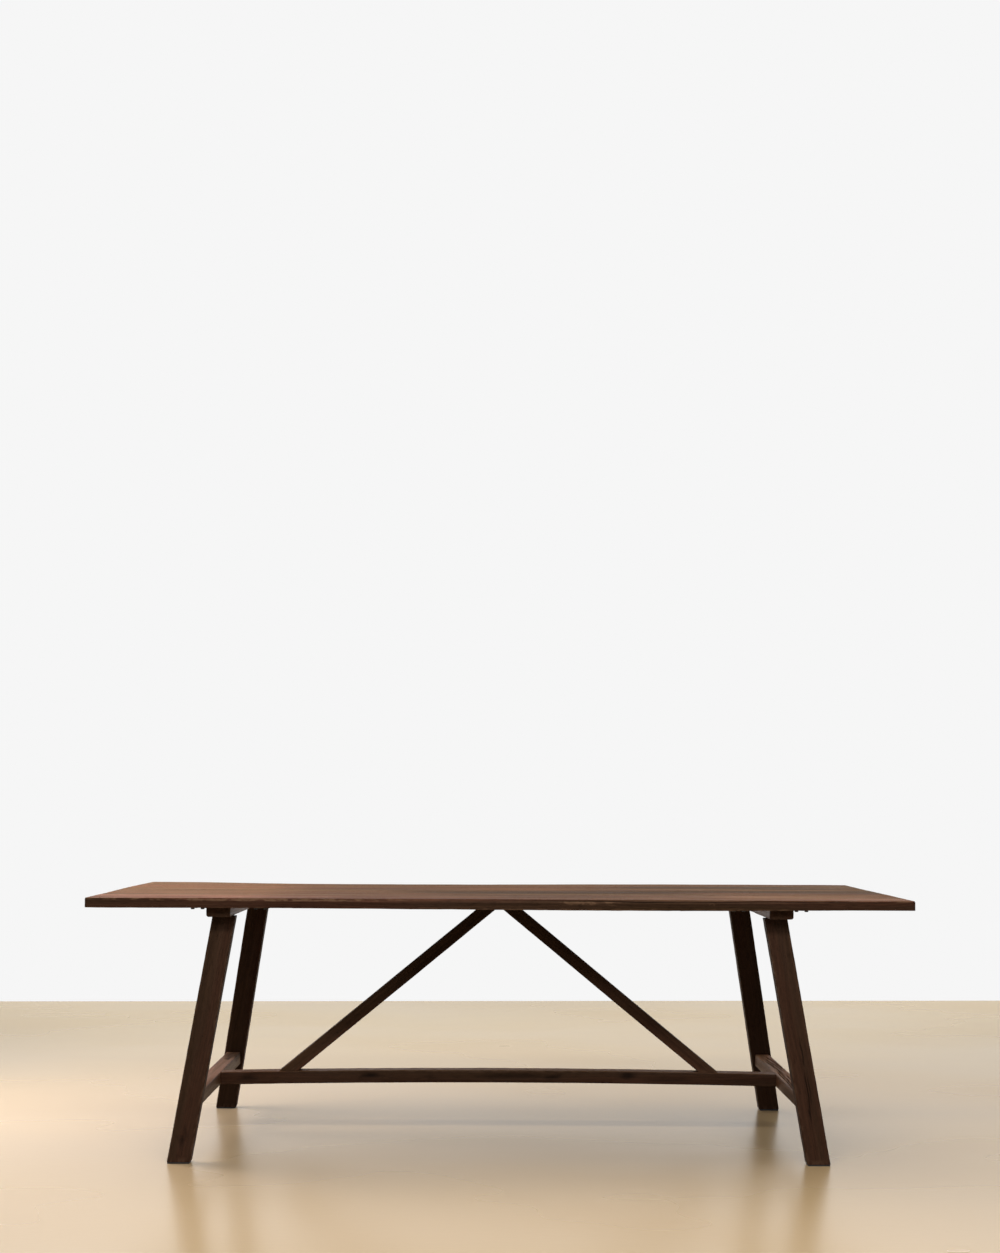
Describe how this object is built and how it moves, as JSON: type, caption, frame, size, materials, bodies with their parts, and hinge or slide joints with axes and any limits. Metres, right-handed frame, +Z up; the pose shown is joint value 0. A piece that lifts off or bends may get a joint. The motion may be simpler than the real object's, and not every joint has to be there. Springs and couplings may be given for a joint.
{
  "type": "extending dining table",
  "caption": "Rectangular plank-top dining table on two splayed trestles with a stretcher, braces and slide-out arms for end leaves.",
  "frame": {"origin": "on the floor under the middle of the top", "axes": "+X along the length to the right seen from the front, +Y away from the front edge, +Z up"},
  "size_m": [2.4, 1.0002, 0.76],
  "materials": {
    "top_wood": "dark brown stained planks, satin, worn",
    "frame_wood": "dark brown stained wood, satin",
    "strip_wood": "oiled hardwood",
    "black_steel": "black powder coat",
    "zinc_steel": "dull zinc plated",
    "brass": "turned",
    "black_rubber": "matte",
    "black_plastic": "matte"
  },
  "bodies": {
    "table": {"arm_buffer_front_left": "black_rubber", "arm_buffer_front_right": "black_rubber", "arm_buffer_rear_left": "black_rubber", "arm_buffer_rear_right": "black_rubber", "brace_dowels": "strip_wood", "brace_left": "frame_wood", "brace_right": "frame_wood", "brace_screws": "zinc_steel", "buffer_screws": "zinc_steel", "centre_stretcher": "frame_wood", "cleat_left": "frame_wood", "cleat_right": "frame_wood", "cleat_screws_left": "zinc_steel", "cleat_screws_right": "zinc_steel", "foot_glide_front_left": "black_plastic", "foot_glide_front_right": "black_plastic", "foot_glide_rear_left": "black_plastic", "foot_glide_rear_right": "black_plastic", "front_plank": "top_wood", "glide_nails": "zinc_steel", "inner_front_plank": "top_wood", "inner_keeper_plate_front_left": "black_steel", "inner_keeper_plate_front_right": "black_steel", "inner_keeper_plate_rear_left": "black_steel", "inner_keeper_plate_rear_right": "black_steel", "inner_keeper_strips_front_left": "strip_wood", "inner_keeper_strips_front_right": "strip_wood", "inner_keeper_strips_rear_left": "strip_wood", "inner_keeper_strips_rear_right": "strip_wood", "inner_rear_plank": "top_wood", "keeper_bolts_left": "black_steel", "keeper_bolts_right": "black_steel", "leaf_sockets_left": "brass", "leaf_sockets_right": "brass", "leg_front_left": "frame_wood", "leg_front_right": "frame_wood", "leg_rear_left": "frame_wood", "leg_rear_right": "frame_wood", "outer_keeper_plate_front_left": "black_steel", "outer_keeper_plate_front_right": "black_steel", "outer_keeper_plate_rear_left": "black_steel", "outer_keeper_plate_rear_right": "black_steel", "outer_keeper_strips_front_left": "strip_wood", "outer_keeper_strips_front_right": "strip_wood", "outer_keeper_strips_rear_left": "strip_wood", "outer_keeper_strips_rear_right": "strip_wood", "rear_plank": "top_wood", "side_stretcher_left": "frame_wood", "side_stretcher_right": "frame_wood", "stretcher_barrel_nuts": "zinc_steel", "stretcher_bolts": "zinc_steel"},
    "leaf_arm_front_left_body": {"leaf_arm_front_left": "black_steel", "arm_stop_pin_front_left": "zinc_steel"},
    "leaf_arm_rear_left_body": {"leaf_arm_rear_left": "black_steel", "arm_stop_pin_rear_left": "zinc_steel"},
    "leaf_arm_front_right_body": {"leaf_arm_front_right": "black_steel", "arm_stop_pin_front_right": "zinc_steel"},
    "leaf_arm_rear_right_body": {"leaf_arm_rear_right": "black_steel", "arm_stop_pin_rear_right": "zinc_steel"}
  },
  "joints": [
    {"name": "leaf_arm_front_left_slide", "type": "slide", "parent": "table", "child": "leaf_arm_front_left_body", "axis": [-1, 0, 0], "range_m": [0, 0.45]},
    {"name": "leaf_arm_rear_left_slide", "type": "slide", "parent": "table", "child": "leaf_arm_rear_left_body", "axis": [-1, 0, 0], "range_m": [0, 0.45]},
    {"name": "leaf_arm_front_right_slide", "type": "slide", "parent": "table", "child": "leaf_arm_front_right_body", "axis": [1, 0, 0], "range_m": [0, 0.45]},
    {"name": "leaf_arm_rear_right_slide", "type": "slide", "parent": "table", "child": "leaf_arm_rear_right_body", "axis": [1, 0, 0], "range_m": [0, 0.45]}
  ]
}
